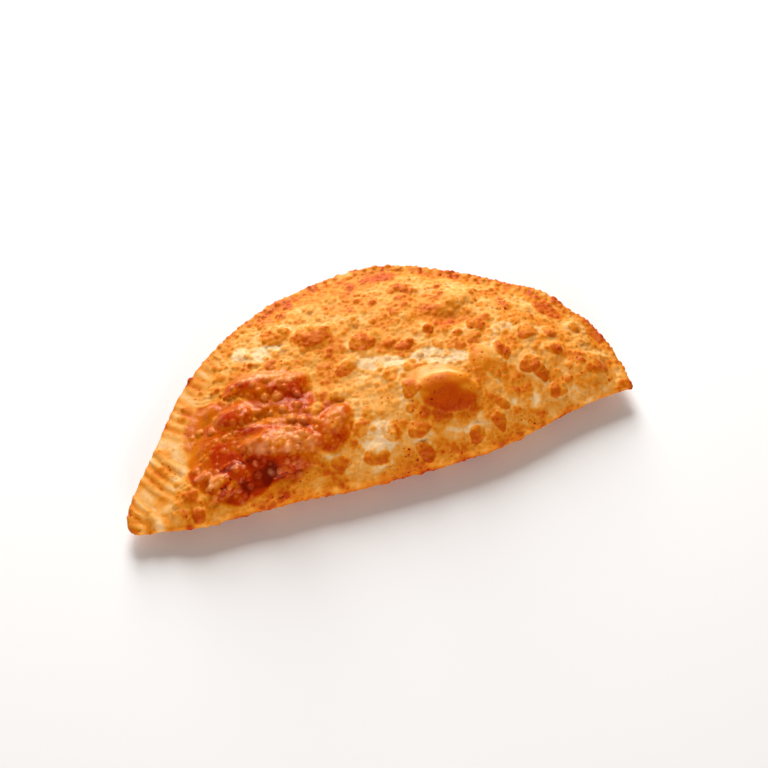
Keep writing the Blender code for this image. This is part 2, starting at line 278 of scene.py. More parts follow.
# Blisters whose skin stays smooth: x, y, half length, half width (mm), turn (degrees)
SMOOTH_OVALS = (
    (27, 20, 15.5, 8.5, -19),
    (30.8, 12.4, 13.2, 9.0, -14),
    (50.5, 23.5, 7.0, 7.4, 0),
)
# No scattered bubbles lie on these: the smooth ones and the dark blister with its lobes
CLEAR_OVALS = (
    *SMOOTH_OVALS,
    (-19, 12, 12, 7.2, 50),
    (-46, 15, 29, 26, -12),
    (-38, 42, 18, 7, -20),
)

# Small bubbles between the blisters
BUBBLE_SEED = 7
BUBBLE_COUNT = 300
BUBBLE_TRIES = 1800
BUBBLE_RADIUS = (1.7 * MM, 3.6 * MM)
BUBBLE_HEIGHT = 0.4
BUBBLE_EDGE = 0.6
BUBBLE_SPACING = 0.9
TIP_CLEAR = 20.0 * MM
BACK_CLEAR = 8.0 * MM
FOLD_CLEAR = 3.0 * MM

# Fine bubbles all over: on both skins, few on the pressed rim of the first tip
FINE_SEED = 23
FINE_TRIES = 16000
FINE_RADIUS = (0.7 * MM, 1.8 * MM)
FINE_SMALLNESS = 2.2
FINE_TONE_RUN = 0.4
FINE_SPACING = 0.85
FINE_HEIGHT = 0.47
FINE_EDGE = 0.6
ROUND_HEIGHT = 0.62
ROUND_EDGE = 0.5
# The share of them that is missing on the pressed rim, the underside and the dark blister
RIM_SPARING = 0.95
UNDER_SPARING = 0.35
DARK_SPARING = 0.8
DARK_FLATTENING = 0.4

# The rim that the fork pressed flat at the first tip: its width, and how far it goes along
PRESSED_WIDTH = 15 * MM
PRESSED_EDGE = 6 * MM
PRESSED_END = 80 * MM
PRESSED_FADE = 40 * MM

# Unevenness of the skin: the lumps' sizes, how far they move a tone's place, and their height
COARSE_LUMP = 13 * MM
MEDIUM_LUMP = 4.5 * MM
SMALL_LUMP = 1.8 * MM
PATCHY_LUMP = 8 * MM
PATCHY_CONTRAST = 2.2
PATCHY_LEVEL = 0.3
COARSE_SHIFT = 2.0 * MM
MEDIUM_SHIFT = 1.0 * MM
MEDIUM_HEIGHT = 0.25 * MM
SMALL_HEIGHT = 0.1 * MM

# How browned: tone 0 is pale cream, 1 nearly burnt
TONE_BASE = 0.34
COARSE_TONE = 0.07
MEDIUM_TONE = 0.1
SMALL_TONE = 0.05
PATCHY_TONE = 0.17
PATCHY_MIDDLE = 0.4
BROWNER = 1.2
# Painted shade, partly browning: these darken a blister's near side, which is turned away from the
# lights behind
FRONT_BROWNING_AND_SHADE = 0.8
SMOOTH_FRONT_BROWNING_AND_SHADE = 1.9
RING_PALER = 0.09
RING_GROWTH = 1.2
RING_WIDTH = 1.2
RING_EDGE = 1.6
BLISTER_TONE_EDGE = 4
# Tones past these rise only by this share, so that no spot burns
SKIN_TONE_LIMIT = 0.6
PATCH_TONE_LIMIT = 0.66
HELD_SHARE = 0.35
# A scattered bubble's tone, and the steps that the next ones differ by
BUBBLE_TONE = 0.02
BUBBLE_TONE_STEP = 0.035
BUBBLE_TONES = 5
BUBBLE_RING_PALER = 0.04
BUBBLE_RING_REACH = 1.9
BUBBLE_RING_EDGE = 3
# A bubble's browning off the browned patches, and how much more it is on them
OFF_PATCH_SHARE = 0.7
ON_PATCH_MORE = 0.8
# Fine bubbles: the tone of each, of all in a browned patch, and of the skin between them
FINE_TONE = 0.13
FINE_PATCHY_TONE = 0.13
FINE_PALER = 0.01
BETWEEN_PALER = 0.05
SMOOTH_EVENNESS = 0.8
# Browner folds, rim and underside, and painted shade in the fork's grooves: tone, and how far each
# reaches in
FOLD_TONE = 0.13
FOLD_REACH = 6 * MM
FOLD_LEVEL = 0.7
RIM_TONE = 0.24
RIM_REACH = 3.0 * MM
RIM_LEVEL = 0.5
GROOVE_SHADE = 0.2
PRESSED_PALER = 0.1
UNDER_TONE = 0.1
# Toasted and pale patches, two of them painted light: x, y, half length, half width (mm), turn
# (degrees), tone added
PATCHES = (
    (-38, 61, 12, 6, -20, -0.24),
    # painted highlight: the pale band above the boat-shaped blister
    (33, 30.5, 14, 5, -19, -0.3),
    (8, 36, 14, 4, -19, -0.2),
    (-3, 3, 9, 8, 0, -0.3),
    (28, 0, 14, 3.5, -19, -0.1),
    (62, 38, 6, 3, 0, -0.14),
    (63.5, 28.5, 7.5, 6, 20, 0.18),
    (62, 1.5, 7, 4, 0, -0.2),
    (42, -1, 4, 3, 0, -0.14),
    (-50, 71, 9, 7, 30, 0.04),
    (-43, 78, 4, 3, 0, 0.06),
    (42, 52, 15, 7, -19, 0.2),
    # painted shade: the darker band on the boat-shaped blister's near side
    (29.6, 5.6, 14, 7.5, -14, 0.2),
    (26, 24, 12, 4, -19, -0.12),
    (-20, 78, 5, 4, 0, 0.1),
    (2, 57, 12, 7, -20, 0.06),
    (90, 43, 8, 4, -45, 0.16),
    (87.5, 46, 9, 4.5, -55, 0.24),
    (97, 46, 9, 4, -60, 0.28),
    (104, 30, 8, 3.5, -75, 0.24),
    (82, 60, 9, 3.5, -40, 0.1),
    (94, 8, 3, 2.6, 0, 0.16),
    (90, 2, 8, 3, 0, 0.08),
    (-92, 17, 9, 4, 60, 0.14),
    (-73, 45, 5, 3, 50, 0.2),
    (-60, 58, 6, 5, 40, 0.06),
    (-30, -3, 14, 4, 0, 0.12),
    (6, -10, 16, 4, 0, 0.12),
    (60, 74, 8, 4, -40, 0.16),
    (40, 84, 10, 4, -20, 0.12),
    (-12, 85, 10, 4, 15, 0.04),
    (24, 88, 9, 4, -10, 0.03),
    (4, 85, 34, 7, 0, 0.18),
    (-10, 14, 10, 5, 50, -0.1),
    (84, 22, 14, 12, 0, 0.06),
)
# The dark blister's browned ovals: x, y, half length, half width (mm), turn (degrees)
DARK_OVALS = (
    (-46, 16.5, 26, 22, -12),
    (-38, 42, 20, 9, -20),
    (-19, 13, 14, 9, 50),
    (-68, 13, 13, 19, 10),
    (-61, 2, 16, 8, 0),
    (-57, 32, 13, 10, -25),
    (-65, 40, 8, 8, 0),
    (-34, 33, 16, 8, -20),
    (-69, 30, 10, 12, 0),
)
DARK_BASE = 0.64
DARK_COARSE_TONE = 0.08
DARK_MEDIUM_TONE = 0.12
# Painted highlight on its bubbles and painted shade between them
DARK_BUBBLE_HIGHLIGHT = 0.04
DARK_BETWEEN_SHADE = 0.06
# Where it is thick with fine bubbles: x, y, half length, half width (mm), turn (degrees)
BUBBLY_OVAL = (-30, 5, 14, 8, -14)
# Lighter and darker places in it, partly real browning and partly painted light: the paler tops of its
# lobes and nub are painted highlight, the darker near sides and the strip under the nub are painted
# shade; with the columns of the patches
DARK_TONES_LIT_AND_SHADED = (
    (-44, 26, 12, 5, -14, -0.04),
    (-30, 29, 9, 6, -14, 0.06),
    (-36, 46, 18, 5, -20, -0.12),
    (-46, 14, 12, 6, -14, -0.08),
    (-55, 30, 8, 4, -25, 0.04),
    (-66, 31, 7, 8, 0, -0.05),
    (-42, -1, 14, 5, -6, 0.12),
    (-57, 4, 13, 7, -12, 0.18),
    (-54, -1, 12, 4.5, 0, 0.12),
    (-64, 14, 8, 9, 0, 0.06),
    (-70.5, 5, 5.5, 3.5, 20, -0.14),
    (-69.5, 0.2, 3.6, 1.2, 20, 0.16),
    (-64, -3, 6, 3, 10, 0.14),
    (-17, 16, 10, 3, 50, -0.12),
    (-23, 6, 6, 7, 50, 0.04),
    (-32, 34, 9, 5, -20, 0.06),
    (-75, 22, 5, 18, 20, -0.06),
)

# How sharply the outlines of these spots end
DARK_EDGE = 2.6
SMOOTH_EDGE = 3
BUBBLY_EDGE = 1.5
PATCH_EDGE = 2.2
DARK_TONE_EDGE = 2
PAINTED_SHEEN_SPOTS_EDGE = 1.6

# Painted sheen: a pale pinkish colour on its bubbles' tops and at these places stands in for their
# highlights, with the columns of the patches
FINE_SHEEN = 0.06
ROUND_SHEEN = 0.25
SHEEN_LEVEL = 0.7
PAINTED_SHEEN_SPOTS = (
    (-40, 10, 15, 6, -14, 0.34),
    (-38, 46, 16, 4.5, -20, 0.5),
    (-18, 14, 10, 4.5, 50, 0.2),
    (-52, 16.5, 3.4, 2.6, 0, 0.3),
    (-49, 34, 4, 1.6, -25, 0.5),
    (-61.5, 7.2, 3.4, 2, 0, 0.6),
    (-74.5, 11, 3, 2, 0, 0.5),
    (-70.5, 5.4, 5, 3, 20, 0.5),
    (-65, 44, 4, 2.4, 0, 0.4),
)

# Fine wrinkles of its skin: where they lie, how high and how close they are
WRINKLED_OVALS = ((-60, 24, 11, 6, -20), (-44, 47, 16, 5, -20), (-62, 50, 8, 5, 20))
WRINKLE_HEIGHT = 0.16 * MM
WRINKLE_RUN = 0.36 * MM
WRINKLE_SLANT = 0.3
WRINKLE_BEND = 3

# Finish of the crust: lump sizes of its blotches, grain and pits, and what each adds
BLOTCH_SIZE = 2.0 * MM
GRAIN_SIZE = 0.6 * MM
PIT_SIZE = 1.3 * MM
PITTED_SIZE = 14 * MM
PIT_LEVEL = 0.7
PITTED_LEVEL = 0.4
BLOTCH_TONE = 0.18
GRAIN_TONE = 0.15
PIT_TONE = 14
DRY_ROUGHNESS = 0.55
OIL_SMOOTHING = 0.3
BLOTCH_ROUGHNESS = 0.15
SMOOTH_OIL = 0.3
BUMP_STRENGTH = 0.5
BUMP_DEPTH = 0.25 * MM
BUMP_GRAIN = 0.6
BUMP_BLOTCH = 0.8
# Painted sheen: the pale pinkish colour put where the dark blister's highlights would be
PAINTED_SHEEN_COLOUR = "F2A468"
BROWNING_STOPS = (
    (0.0, "ECC694"),
    (0.2, "E6A24C"),
    (0.38, "DE861E"),
    (0.52, "D27008"),
    (0.66, "C45600"),
    (0.8, "B22C00"),
    (1.0, "741000"),
)

# Mesh cells
OUTLINE_STEP = 2
PLATE_CELL = 1.2 * MM
SKIN_CELL = 1.06 * MM
FINE_CELL = 1.19 * MM
UPPER_TILT = 0.05

# ---------------------------------------------------------------- view and light
VIEW_TURN = -19
VIEW_RISE = 55
VIEW_DISTANCE = 0.7645
VIEW_TARGET = (10.1 * MM, -7.25 * MM, 9.0 * MM)
LENS = 85

# Softboxes: name, turn and rise (degrees), distance and size (m), power (W)
SOFTBOXES = (
    ("key_light", 172, 44, 1.1, 0.5, 11.4),
    ("low_back_light", 172, 20, 1.2, 0.5, 11),
    ("front_light", -10, 14, 1.3, 0.5, 10.3),
)
ROOM_COLOUR = (1, 0.84, 0.7, 1)
ROOM_STRENGTH = 0.2
FLOOR_SIZE = 6


def deselect_all():
    for obj in bpy.context.selected_objects:
        obj.select_set(False)


# ---------------------------------------------------------------- form of the dough
def smooth_line(knots):
    """Points along a Catmull-Rom curve through the knots, in metres."""
    points = np.array(knots, dtype=float) * MM
    ends = (2 * points[0] - points[1], 2 * points[-1] - points[-2])
    points = np.vstack((ends[0], points, ends[1]))
    share = np.linspace(0, 1, LINE_STEPS, endpoint=False)[:, None]
    runs = []
    for i in range(1, len(points) - 2):
        before, start, end, after = points[i - 1 : i + 3]
        linear = (end - before) * share
        square = (2 * before - 5 * start + 4 * end - after) * share**2
        cubic = (3 * start - before - 3 * end + after) * share**3
        runs.append(0.5 * (2 * start + linear + square + cubic))
    runs.append(points[-2:-1])
    return np.vstack(runs)


CRIMP = smooth_line(CRIMP_LINE)
FOLD = smooth_line(FOLD_LINE)


def distance_to(line, x, y):
    """The distance from each point to the line, and how far along the line it is nearest."""
    steps = np.linalg.norm(np.diff(line, axis=0), axis=1)
    along = np.concatenate(([0.0], np.cumsum(steps)))
    gap = np.full(len(x), np.inf)
    place = np.zeros(len(x))
    for start, end, length, begin in zip(line[:-1], line[1:], steps, along):
        way = (end - start) / length
        reach = np.clip((x - start[0]) * way[0] + (y - start[1]) * way[1], 0, length)
        far = np.hypot(x - start[0] - reach * way[0], y - start[1] - reach * way[1])
        nearer = far < gap
        gap[nearer] = far[nearer]
        place[nearer] = begin + reach[nearer]
    return gap, place


def ease(value):
    """A smooth step from 0 to 1 as the value goes from 0 to 1."""
    value = np.clip(value, 0, 1)
    return value * value * (3 - 2 * value)


def narrowing(place, tip_width, back_width):
    """A width that goes from the first tip's to the back's along the crimp."""
    return tip_width + (back_width - tip_width) * ease((place - NARROWING_START) / NARROWING_RUN)


def pillow(x, y):
    """How far the filling lifts the dough: 0 on the rim and at the fold, 1 in the middle."""
    crimp_gap, place = distance_to(CRIMP, x, y)
    fold_gap, _ = distance_to(FOLD, x, y)
    rim = narrowing(place, TIP_RIM_WIDTH, BACK_RIM_WIDTH)
    from_rim = np.clip((crimp_gap - rim) / CRIMP_SLOPE_RUN, 0, 1)
    from_fold = np.clip(fold_gap / FOLD_SLOPE_RUN, 0, 1)
    crimp_side = 1 - (1 - from_rim) ** 2
    fold_side = (1 - (1 - from_fold) ** 2) ** FOLD_FULLNESS
    return crimp_side * fold_side


def sway(x, y):
    """Slow ups and downs of the whole dough."""
    along = SWAY_ALONG * np.sin(x / SWAY_ALONG_RUN + SWAY_SHIFT)
    across = SWAY_ACROSS * np.cos(x / SWAY_ACROSS_RUNS[0] - y / SWAY_ACROSS_RUNS[1])
    return along + across


def wander(x, y):
    """The same places moved a little to and fro, so that no blister is a perfect oval."""
    slow_x = np.sin(y / WANDER_SLOW_X[0] + x / WANDER_SLOW_X[1])
    slow_y = np.sin(x / WANDER_SLOW_Y[0] - y / WANDER_SLOW_Y[1])
    quick_x = QUICK_SHARE * np.sin(x / WANDER_QUICK[0])
    quick_y = QUICK_SHARE * np.sin(y / WANDER_QUICK[1])
    return x + WANDER * (slow_x + quick_x), y + WANDER * (slow_y + quick_y)


def oval(x, y, centre_x, centre_y, half_length, half_width, turn):
    """1 in the middle of a turned oval, falling to 0 at its edge and outside; sizes in mm."""
    angle = math.radians(turn)
    off_x = x - centre_x * MM
    off_y = y - centre_y * MM
    forward = (off_x * math.cos(angle) + off_y * math.sin(angle)) / (half_length * MM)
    sideways = (off_y * math.cos(angle) - off_x * math.sin(angle)) / (half_width * MM)
    return np.clip(1 - forward**2 - sideways**2, 0, 1)


def inside_outline(x, y):
    """Whether each point lies between the fold line and the crimped line."""
    crimp_order = np.argsort(CRIMP[:, 0])
    fold_order = np.argsort(FOLD[:, 0])
    top = np.interp(x, CRIMP[crimp_order, 0], CRIMP[crimp_order, 1])
    bottom = np.interp(x, FOLD[fold_order, 0], FOLD[fold_order, 1])
    return (y > bottom) & (y < top)


def scattered_bubbles():
    """Small round bubbles at seeded places on the top, as (x, y, radius) in metres."""
    draw = random.Random(BUBBLE_SEED)
    low = np.minimum(CRIMP.min(axis=0), FOLD.min(axis=0))
    high = np.maximum(CRIMP.max(axis=0), FOLD.max(axis=0))
    tries = np.array(
        [
            (draw.uniform(low[0], high[0]), draw.uniform(low[1], high[1]), draw.random())
            for _ in range(BUBBLE_TRIES)
        ]
    )
    inside = inside_outline(tries[:, 0], tries[:, 1])
    crimp_gap, place = distance_to(CRIMP, tries[:, 0], tries[:, 1])
    fold_gap, _ = distance_to(FOLD, tries[:, 0], tries[:, 1])
    clear = narrowing(place, TIP_CLEAR, BACK_CLEAR)
    free = inside & (crimp_gap > clear) & (fold_gap > FOLD_CLEAR)
    for spot in CLEAR_OVALS:
        free &= oval(tries[:, 0], tries[:, 1], *spot) == 0
    small, large = BUBBLE_RADIUS
    kept = []
    for x, y, size in tries[free]:
        radius = small + (large - small) * size**2
        if all(math.hypot(x - u, y - v) > BUBBLE_SPACING * (radius + r) for u, v, r in kept):
            kept.append((x, y, radius))
    return kept[:BUBBLE_COUNT]


def fork_marks(x, y):
    """The fork's ridges on the rim: height, and 0 to 1 for how deep in a groove each point is."""
    gap, place = distance_to(CRIMP, x, y)
    height = np.zeros(len(x))
    groove = np.zeros(len(x))
    for start, slant, reach, depth in FORK_PRESSES:
        bend = slant * gap + FORK_CURL * gap**2 / MM
        tine = ((place + bend) / MM - start) / FORK_PITCH
        side = np.minimum(tine + PRESS_MARGIN, FORK_TINES + PRESS_MARGIN - tine)
        pressed = ease(PRESS_EDGE * side)
        fade = 1 - ease((gap / MM - FADE_START * reach) / (FADE_START * reach))
        ridge = np.abs(np.sin(math.pi * tine)) ** RIDGE_ROUND - RIDGE_LEVEL
        height += depth * MM * ridge * fade * pressed
        groove = np.maximum(groove, fade * pressed * (GROOVE_BOTTOM - ridge))
    return height, groove


def seam_lift(x, y):
    """The rim waves a little up and down between the fork presses, and sinks at the first tip."""
    gap, place = distance_to(CRIMP, x, y)
    wave = WAVE_HEIGHT * np.sin(place / WAVE_RUN) * (1 - ease(gap / WAVE_REACH))
    droop = TIP_DROOP * ease((-x - DROOP_START) / DROOP_RUN)
    return wave - droop


def belly_depth(x, y):
    """Depth of the lower skin under the seam: deep enough to flatten where it rests."""
    hanging = 1 - np.clip(1 - pillow(x, y) / BELLY_FLAT, 0, 1) ** BELLY_ROUND
    return (SEAM_HEIGHT - RIM_THICK / 2) * hanging


# ---------------------------------------------------------------- modelling
def apply_modifier(obj, kind, **settings):
    modifier = obj.modifiers.new(kind.title(), kind)
    for name, value in settings.items():
        setattr(modifier, name, value)
    bpy.context.view_layer.objects.active = obj
    bpy.ops.object.modifier_apply(modifier=modifier.name)


def points_of(mesh):
    points = np.empty(len(mesh.vertices) * 3, dtype=np.float32)
    mesh.vertices.foreach_get("co", points)
    return points.reshape(-1, 3).astype(float)


def normals_of(mesh):
    normals = np.empty(len(mesh.vertices) * 3, dtype=np.float32)
    mesh.vertices.foreach_get("normal", normals)
    return normals.reshape(-1, 3).astype(float)


def set_points(mesh, points):
    mesh.vertices.foreach_set("co", points.astype(np.float32).ravel())
    mesh.update()


def flat_dough():
    """The folded dough before it puffs up: a flat slice of the outline, as thick as the rim."""
    outline = np.vstack((CRIMP[:-1], FOLD[:-1]))[::OUTLINE_STEP]
    deselect_all()
    bpy.ops.mesh.primitive_circle_add(vertices=len(outline), radius=0.1, fill_type="NGON")
    obj = bpy.context.object
    obj.name = "crust"
    set_points(obj.data, np.column_stack((outline, np.full(len(outline), -RIM_THICK / 2))))
    bpy.ops.object.mode_set(mode="EDIT")
    bpy.ops.mesh.select_all(action="SELECT")
    bpy.ops.mesh.extrude_region_move(TRANSFORM_OT_translate={"value": (0, 0, RIM_THICK)})
    bpy.ops.mesh.select_all(action="SELECT")
    bpy.ops.mesh.normals_make_consistent(inside=False)
    bpy.ops.object.mode_set(mode="OBJECT")
    apply_modifier(obj, "REMESH", mode="VOXEL", voxel_size=PLATE_CELL)
    return obj


def puff_up(mesh):
    """Fills the dough: its upper skin rises over the filling and its lower skin sinks."""
    points = points_of(mesh)
    x, y, z = points.T
    side = np.clip(z / (RIM_THICK / 2), -1, 1)
    up = pillow(x, y) * RISE
    down = belly_depth(x, y)
    points[:, 2] = SEAM_HEIGHT + z + np.where(side > 0, side * up, side * down)
    set_points(mesh, points)


def top_share(z):
    """1 on the upper skin, 0 on the lower one."""
    return ease((z - SEAM_HEIGHT) / RIM_THICK + 0.5)


def add_relief(mesh):
    """Blisters, bubbles and fork marks on the upper skin, and the waves of the rim."""
    points = points_of(mesh)
    x, y, z = points.T
    filled = pillow(x, y)
    relief = sway(x, y) * filled + fork_marks(x, y)[0]
    uneven = wander(x, y)
    full = ease(BLISTER_GROWTH * filled + BLISTER_START)
    for *spot, height, edge, _ in BLISTERS:
        places = (x, y) if tuple(spot) in SMOOTH_OVALS else uneven
        relief += height * MM * oval(*places, *spot) ** edge * full
    for centre_x, centre_y, radius in scattered_bubbles():
        dome = np.clip(1 - ((x - centre_x) ** 2 + (y - centre_y) ** 2) / radius**2, 0, 1)
        relief += BUBBLE_HEIGHT * radius * dome**BUBBLE_EDGE
    grounded = ease(z / GROUND_CLEAR)
    points[:, 2] = z + top_share(z) * relief + grounded * seam_lift(x, y)
    set_points(mesh, points)


def refine_top(obj):
    """Splits each upper face in four, because the fine blisters show on that side."""
    deselect_all()
    obj.select_set(True)
    bpy.context.view_layer.objects.active = obj
    bpy.ops.object.mode_set(mode="EDIT")
    bpy.ops.mesh.select_all(action="DESELECT")
    bpy.ops.object.mode_set(mode="OBJECT")
    for face in obj.data.polygons:
        face.select = face.normal.z > UPPER_TILT or face.center.z > SEAM_HEIGHT
    bpy.ops.object.mode_set(mode="EDIT")
    bpy.ops.mesh.subdivide(number_cuts=1, smoothness=0)
    bpy.ops.object.mode_set(mode="OBJECT")
    apply_modifier(obj, "SMOOTH", factor=0.5, iterations=2)


def cloud(points, size, seed):
    """Smooth noise between -1 and 1 at each point, with lumps of the given size."""
    shift = Vector((seed * 7.31, seed * 3.77, seed * 5.13))
    return np.array([noise.noise(Vector(point) / size + shift) for point in points])


def fine_bubbles(points, welcome):
    """Seeded fine bubbles on the skin, fewer where the dough is less welcoming."""
    draw = random.Random(FINE_SEED)
    small, large = FINE_RADIUS
    cell = 2 * large
    taken = {}
    kept = []
    for _ in range(FINE_TRIES):
        index = draw.randrange(len(points))
        radius = small + (large - small) * draw.random() ** FINE_SMALLNESS
        tone = draw.random() * ease((radius - small) / (FINE_TONE_RUN * large))
        if draw.random() > welcome[index]:
            continue
        place = tuple(points[index])
        box = tuple(int(value // cell) for value in place)
        near = [
            other
            for i in (-1, 0, 1)
            for j in (-1, 0, 1)
            for k in (-1, 0, 1)
            for other in taken.get((box[0] + i, box[1] + j, box[2] + k), ())
        ]
        if any(math.dist(place, spot) < FINE_SPACING * (radius + size) for spot, size, _ in near):
            continue
        bubble = (place, radius, tone)
        taken.setdefault(box, []).append(bubble)
        kept.append(bubble)
    return kept


def raise_bubbles(points, bubbles, edge):
    """Lift, crown (1 at a bubble's top, 0 at its foot) and tone of the given bubbles."""
    tree = KDTree(len(points))
    for index, point in enumerate(points):
        tree.insert(point, index)
    tree.balance()
    lift = np.zeros(len(points))
    crown = np.zeros(len(points))
    shade = np.zeros(len(points))
    for place, radius, tone in bubbles:
        for _, index, distance in tree.find_range(place, radius):
            part = (1 - (distance / radius) ** 2) ** edge
            if part * radius > lift[index]:
                lift[index] = part * radius
                crown[index] = part
                shade[index] = tone
    return lift, crown, shade


def placed_bubbles(points):
    """The single small bubbles, each put on the upper skin over its plan position."""
    x, y, z = points.T
    placed = []
    for centre_x, centre_y, radius in SMALL_BUBBLES:
        away = np.hypot(x - centre_x * MM, y - centre_y * MM) + 10 * (z < SEAM_HEIGHT)
        placed.append((tuple(points[away.argmin()]), radius * MM, 0.5))
    return placed


def save_field(mesh, name, values):
    attribute = mesh.attributes.new(name, "FLOAT", "POINT")
    attribute.data.foreach_set("value", values.astype(np.float32))


def blister_tones(x, y, tones):
    """Adds each blister's browning: paler round it and browner on it; its near side, turned away from
    the lights behind, is darker still, partly browning and partly painted shade.
    """
    uneven = wander(x, y)
    near_x, near_y = view_back(VIEW_TURN, 0)[:2]
    for centre_x, centre_y, length, width, turn, height, _, tone in BLISTERS:
        if height > 0 and tone > 0:
            spot = (centre_x, centre_y, length, width, turn)
            reach = (length * RING_GROWTH + RING_WIDTH, width * RING_GROWTH + RING_WIDTH)
            wide = (centre_x, centre_y, *reach, turn)
            near = (x - centre_x * MM) * near_x + (y - centre_y * MM) * near_y
            near = np.clip(near / (width * MM), -1, 1)
            smooth = spot in SMOOTH_OVALS
            places = (x, y) if smooth else uneven
            front = SMOOTH_FRONT_BROWNING_AND_SHADE if smooth else FRONT_BROWNING_AND_SHADE
            inside = ease(oval(*places, *spot) * BLISTER_TONE_EDGE)
            tones -= RING_PALER * ease(oval(*places, *wide) * RING_EDGE) * (1 - inside)
            # painted shade, partly browning: the tone grows towards the blister's near side
            tones += tone * (BROWNER + front * near) * inside


def held_back(tones, limit):
    """Tones past the limit rise only slowly."""
    return np.minimum(tones, limit + HELD_SHARE * (tones - limit))


class Skin:
    """The finished skin's points, and what makes each of them uneven."""

    def __init__(self, mesh):
        self.points = points_of(mesh)
        self.x, self.y, self.z = self.points.T
        self.above = top_share(self.z)
        self.crimp_gap, self.place = distance_to(CRIMP, self.x, self.y)
        self.fold_gap, _ = distance_to(FOLD, self.x, self.y)
        self.coarse = cloud(self.points, COARSE_LUMP, 1)
        self.medium = cloud(self.points, MEDIUM_LUMP, 2)
        self.small = cloud(self.points, SMALL_LUMP, 3)
        self.patchy = ease(PATCHY_CONTRAST * cloud(self.points, PATCHY_LUMP, 6) + PATCHY_LEVEL)
        coarse_y = cloud(self.points, COARSE_LUMP, 4)
        medium_y = cloud(self.points, MEDIUM_LUMP, 5)
        self.warp_x = self.x + COARSE_SHIFT * self.coarse + MEDIUM_SHIFT * self.medium
        self.warp_y = self.y + COARSE_SHIFT * coarse_y + MEDIUM_SHIFT * medium_y

    def on_spot(self, spot, edge):
        """1 on a spot of the skin, 0 off it; its outline is uneven, and sharper with the edge."""
        return ease(oval(self.warp_x, self.warp_y, *spot) * edge)

    def dark_share(self):
        """1 on the dark blister, 0 off it."""
        dark = np.zeros(len(self.x))
        for spot in DARK_OVALS:
            dark = np.maximum(dark, self.on_spot(spot, DARK_EDGE))
        return dark * self.above

    def smooth_share(self):
        """1 on the blisters that stay smooth, 0 off them."""
        smooth = np.zeros(len(self.x))
        for spot in SMOOTH_OVALS:
            smooth = np.maximum(smooth, ease(oval(self.x, self.y, *spot) * SMOOTH_EDGE))
        return smooth

    def pressed_share(self):
        """1 on the rim that the fork pressed flat at the first tip, 0 off it."""
        along_tip = 1 - ease((self.place - PRESSED_END) / PRESSED_FADE)
        return (1 - ease((self.crimp_gap - PRESSED_WIDTH) / PRESSED_EDGE)) * along_tip

    def welcome(self, dark, smooth, pressed):
        """How readily fine bubbles rise at each point."""
        welcome = 1 - RIM_SPARING * pressed - UNDER_SPARING * (1 - self.above)
        welcome -= smooth * self.above
        bubbly = ease(BUBBLY_EDGE * oval(self.x, self.y, *BUBBLY_OVAL))
        return welcome - DARK_SPARING * dark * (1 - bubbly)

    def scattered_tones(self, brown):
        """Adds the scattered bubbles' browning, and the paler skin round each."""
        for number, (centre_x, centre_y, radius) in enumerate(scattered_bubbles()):
            away = ((self.x - centre_x) ** 2 + (self.y - centre_y) ** 2) / radius**2
            dome = np.clip(1 - away, 0, 1) ** 0.5
            tone = BUBBLE_TONE + BUBBLE_TONE_STEP * (number % BUBBLE_TONES)
            ring = ease(BUBBLE_RING_EDGE * (BUBBLE_RING_REACH - away)) * (1 - dome)
            brown -= BUBBLE_RING_PALER * ring
            brown += dome * tone * (OFF_PATCH_SHARE + ON_PATCH_MORE * self.patchy)

    def plain_browning_and_light(self, crown, shade, smooth):
        """Tones of the skin off the dark blister, with the painted shade of the blisters' near sides
        and the patches' painted highlight and shade.
        """
        brown = TONE_BASE + COARSE_TONE * self.coarse + MEDIUM_TONE * self.medium
        brown += SMALL_TONE * self.small + PATCHY_TONE * (self.patchy - PATCHY_MIDDLE)
        self.scattered_tones(brown)
        blister_tones(self.x, self.y, brown)
        spots = crown * (FINE_TONE * shade + FINE_PATCHY_TONE * self.patchy - FINE_PALER)
        spots -= BETWEEN_PALER * (crown == 0)
        brown += spots * (1 - SMOOTH_EVENNESS * smooth)
        brown = held_back(brown, SKIN_TONE_LIMIT)
        for *spot, tone in PATCHES:
            brown += tone * self.on_spot(spot, PATCH_EDGE)
        return held_back(brown, PATCH_TONE_LIMIT)

    def dark_browning_and_light(self, crown, round_crown):
        """Tones of the dark blister: paler on its bubbles, a painted highlight, and darker between
        them, painted shade.
        """
        crust = DARK_BASE + DARK_MEDIUM_TONE * self.medium + DARK_COARSE_TONE * self.coarse
        # painted highlight on the bubbles, painted shade between them
        crust -= DARK_BUBBLE_HIGHLIGHT * (crown + round_crown)
        crust += DARK_BETWEEN_SHADE * (crown == 0) * (round_crown == 0)
        blister_tones(self.x, self.y, crust)
        # lighter and darker places, partly painted highlight and painted shade
        for *spot, tone in DARK_TONES_LIT_AND_SHADED:
            crust += tone * self.on_spot(spot, DARK_TONE_EDGE)
        return crust

    def edge_browning_and_groove_shade(self, dark, pressed):
        """What the fold, the rim, the grooves' painted shade and the underside add to the tones."""
        lumps = self.coarse + self.medium
        fold = (1 - ease(self.fold_gap / FOLD_REACH)) * (1 - dark)
        rim = 1 - ease(self.crimp_gap / RIM_REACH)
        tones = FOLD_TONE * fold * (FOLD_LEVEL + lumps)
        tones += RIM_TONE * rim * np.clip(RIM_LEVEL + lumps, 0, 2)
        # painted shade in the fork's grooves
        tones += GROOVE_SHADE * fork_marks(self.x, self.y)[1] - PRESSED_PALER * pressed
        return tones + UNDER_TONE * (1 - self.above)

